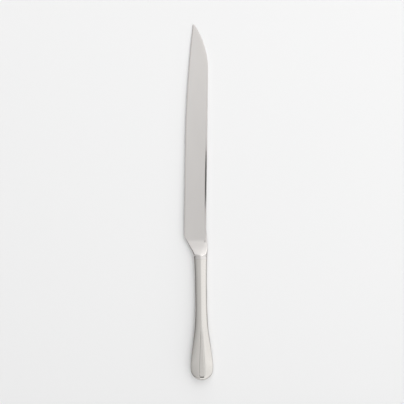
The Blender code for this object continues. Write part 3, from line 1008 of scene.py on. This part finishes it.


# %% The sheet of card
# The card's grey carries painted light: it is lighter to the right and towards the point.
CARD_REACH = 0.18
CARD_LEFT = 0.785
CARD_RIGHT = 0.826
CARD_GAIN = 0.064
CARD_GAIN_BEND = 0.65


def lay_card():
    half = TABLE_SIZE / 2
    plan = ((-half, -half), (half, -half), (half, half), (-half, half))
    mesh = bpy.data.meshes.new("white_card")
    mesh.from_pydata([(x, y, card_height(y)) for x, y in plan], [], [(0, 1, 2, 3)])
    card = add_object("white_card", mesh)
    material, net, shader = new_material("white_card")
    x, y, _ = net.split(net.node("ShaderNodeTexCoord", output="Object"))
    # Painted light: the grey rises to the right and towards the point, as the light falls on the card.
    painted_light_to_right = net.reach(x, -CARD_REACH, CARD_REACH, CARD_LEFT, CARD_RIGHT)
    painted_light_to_point = net.reach(y, -CARD_REACH, CARD_REACH) ** CARD_GAIN_BEND * CARD_GAIN
    grey = painted_light_to_right + painted_light_to_point
    paint = net.node("ShaderNodeCombineColor", inputs={"Red": grey, "Green": grey, "Blue": grey})
    net.feed(shader.inputs["Base Color"], paint)
    shader.inputs["Roughness"].default_value = 0.9
    shader.inputs["Specular IOR Level"].default_value = 0.2
    mesh.materials.append(material)


lay_card()

# %% [markdown]
# ## The studio
#
# Steel shows the room, and the card shows the light, and they needn't be the same. For rays that the steel
# sends out, the world is a tent of cloth that hangs over the knife like a vault. It grows brighter from left
# to right, and along the knife it is bright at the horizon beyond the butt, dimmer above that, and brighter
# again the more it looks to the point. For the card, the world is one soft light overhead that leans to the
# right, so that the knife's shadow falls to the left. The camera itself sees a plain pale ground past the
# card.
#
# Area lamps and sheets of cloth could be set up as objects, but each would light the card as well. In the
# world's nodes the two are kept apart by Light Path, and each facet of the knife can be given what it faces.
# A group of four numbers below is a start, an end, and the level at either.

# %% Levels of the tent
TENT = (
    (0.00, 0.45),
    (0.02, 0.56),
    (0.07, 0.70),
    (0.13, 0.80),
    (0.33, 0.865),
    (0.47, 0.93),
    (0.62, 1.18),
    (0.80, 1.28),
    (0.95, 1.32),
    (1.00, 1.22),
)
TOWARDS_POINT = (
    (0.03, 1.30),
    (0.22, 0.88),
    (0.44, 0.88),
    (0.48, 1.02),
    (0.515, 1.07),
    (0.57, 1.14),
    (0.65, 1.14),
    (0.76, 1.29),
    (0.88, 1.40),
)
TO_THE_SIDES = ((0.40, 0.92), (0.435, 0.94), (0.455, 1.02), (0.465, 1.0), (0.485, 0.91), (0.6, 0.92))
SIDES = (0.1, 0.3, 0, 0.8)


def curve(net, value, stops):
    """Straight lines between stops, which are pairs of a place from 0 to 1 and a level."""
    top = max(level for _, level in stops)
    stage = net.node("ShaderNodeValToRGB", inputs={0: value})
    ramp = stage.link.node.color_ramp
    while len(ramp.elements) < len(stops):
        ramp.elements.new(0.5)
    for element, (place, level) in zip(ramp.elements, stops):
        element.position = place
        element.color = (level / top, level / top, level / top, 1)
    return net.node("ShaderNodeSeparateColor", inputs={0: stage}) * top


def cloth(net, across, ry, to_side):
    """The tent's own level. Out to the sides, its curve along the knife gives way to another."""
    along = curve(net, (ry + 1) / 2, TOWARDS_POINT)
    along_sides = curve(net, (ry + 1) / 2, TO_THE_SIDES)
    at_sides = net.reach(to_side, *SIDES, smooth=True)
    return curve(net, across, TENT) * (along + (along_sides - along) * at_sides)


# %% [markdown]
# ### What breaks the tent
#
# Four things do, and each shows on the knife. Low down at the sides the tent has a dark hem, which the
# chamfers, the rib's flanks and the handle's sides mirror. At both ends of the knife the hem parts, and in
# the gap beyond the butt stands a low dark band, which the rib's end face mirrors. The camera, far out of
# focus, dims the middle of the top a little. And a window, up to the right and towards the point, puts a
# gleam on whatever leans that way. They could be objects too, with the same fault as before, so the first
# three are factors on the tent's level, and the window is added to it.

# %% Hem, band, camera and window
HEM_LEVEL = (0.35, 0.75, 0.95, 0.22)
HEM_TOP = (0.0, 0.5, 0.36, 0.24)
HEM_FOOT = 0.02
BUTT_BAND = (0.14, 0.2, 0.96, 0)
BUTT_PARTING = (0.2, 0.35, 1, 0)
CAMERA_BLUR = (0.03, 0.15, 0.85, 1.0)
WINDOW_TOWARDS = (0.46, 0.40, 0.79)
WINDOW = (0.94, 0.985, 0, 0.7)


def hem(net, across, rz, to_side):
    """The hem is darker the farther it hangs to the side, and fades upwards into the cloth."""
    level = net.reach(to_side, *HEM_LEVEL)
    over_hem = net.reach(rz, HEM_FOOT, net.reach(across, *HEM_TOP), smooth=True)
    return level + (1 - level) * over_hem


def butt_band(net, ry, rz, to_side):
    """The dark band low down beyond the butt, in the gap of the hem."""
    low_down = net.reach(rz, *BUTT_BAND, smooth=True)
    beyond_butt = net.math("LESS_THAN", ry, 0)
    return 1 - net.reach(to_side, *BUTT_PARTING, smooth=True) * low_down * beyond_butt


def camera_blur(net, rx, ry):
    off_camera = net.math("SQRT", rx * rx + ry * ry)
    return net.reach(off_camera, *CAMERA_BLUR, smooth=True)


def window(net, direction):
    inputs = {0: direction, 1: WINDOW_TOWARDS}
    towards = net.node("ShaderNodeVectorMath", {"operation": "DOT_PRODUCT"}, inputs, output="Value")
    return net.reach(towards, *WINDOW, smooth=True)


# %% Light the studio
VAULT_SHARE = 0.75
OVERHEAD = ((0.36, 0.27), (0.46, 2.5), (0.58, 2.5), (0.70, 0.92))
BACKDROP = 0.9


def build_studio():
    world = bpy.data.worlds.new("studio")
    bpy.context.scene.world = world
    world.use_nodes = True
    net = Net(world.node_tree)
    direction = net.node("ShaderNodeTexCoord", output="Generated")
    rx, ry, rz = net.split(direction)
    to_side = net.math("ABSOLUTE", rx)

    # Where a direction stands on the vault over the knife: 0 at the left horizon, 1 at the right one.
    vault = net.math("SQRT", 1 - ry * ry * VAULT_SHARE)
    across = (rx / vault + 1) / 2

    tent = cloth(net, across, ry, to_side) * hem(net, across, rz, to_side)
    tent = tent * butt_band(net, ry, rz, to_side) * camera_blur(net, rx, ry) + window(net, direction)
    overhead = curve(net, across, OVERHEAD)
    seen = net.node("ShaderNodeLightPath", output="Is Camera Ray")
    mirrored = net.node("ShaderNodeLightPath", output="Is Glossy Ray")
    strength = tent * mirrored + seen * BACKDROP + overhead * (1 - seen) * (1 - mirrored)
    background = world.node_tree.nodes["Background"]
    net.feed(background.inputs["Strength"], strength)
    net.feed(background.inputs["Color"], (1, 1, 1, 1))
    print(f"The studio has {len(net.tree.nodes)} nodes")


build_studio()

# %% [markdown]
# ### The lens overhead
#
# The camera stands over the knife, and where the steel lies exactly level it mirrors the camera's own dark
# lens. That is the thin dark line beside the spine, and it only runs as far as the lens reaches. It could be
# one more factor in the world, but the world is endlessly far away, and only a thing that stands at its real
# height fades out along the blade as the real one does. So this one is an object.

# %% The lens
LENS_RADIUS = 50 * MM
LENS_PLACE = (12 * MM, 47 * MM, 1.25)
LENS_BLACK = (0.02, 0.02, 0.02, 1)


def hang_lens():
    disc = bmesh.new()
    bmesh.ops.create_circle(disc, cap_ends=True, segments=64, radius=LENS_RADIUS)
    bmesh.ops.translate(disc, verts=disc.verts, vec=LENS_PLACE)
    mesh = bpy.data.meshes.new("dark_lens")
    disc.to_mesh(mesh)
    disc.free()
    lens = add_object("dark_lens", mesh)
    material, _, shader = new_material("dark_lens")
    shader.inputs["Base Color"].default_value = LENS_BLACK
    shader.inputs["Roughness"].default_value = 0.6
    mesh.materials.append(material)


hang_lens()

# %% [markdown]
# ## The camera
#
# It hangs straight above, far enough away that nothing looks drawn out. It is turned by a little over half a
# degree, because the knife in the photograph wasn't laid quite straight and the frame's knife is. An
# orthographic camera would be simpler, but it would lose the slight change of view along the blade.

# %% The camera
FIELD = 363.6 * MM
CAMERA_HEIGHT = 1.2
CAMERA_X = 4.4 * MM
CAMERA_Y = 0.4 * MM
CAMERA_TURN = -0.68


def hang_camera():
    data = bpy.data.cameras.new("camera")
    camera = add_object("camera", data)
    data.sensor_width = 36
    data.lens = data.sensor_width * CAMERA_HEIGHT / FIELD
    data.clip_end = 20
    camera.location = (CAMERA_X, CAMERA_Y, PLACE[2] + CAMERA_HEIGHT)
    camera.rotation_euler = (0, 0, math.radians(CAMERA_TURN))
    bpy.context.scene.camera = camera
    print(f"The camera's lens is {data.lens:.1f} mm")


hang_camera()
bpy.context.scene.view_settings.view_transform = "Standard"
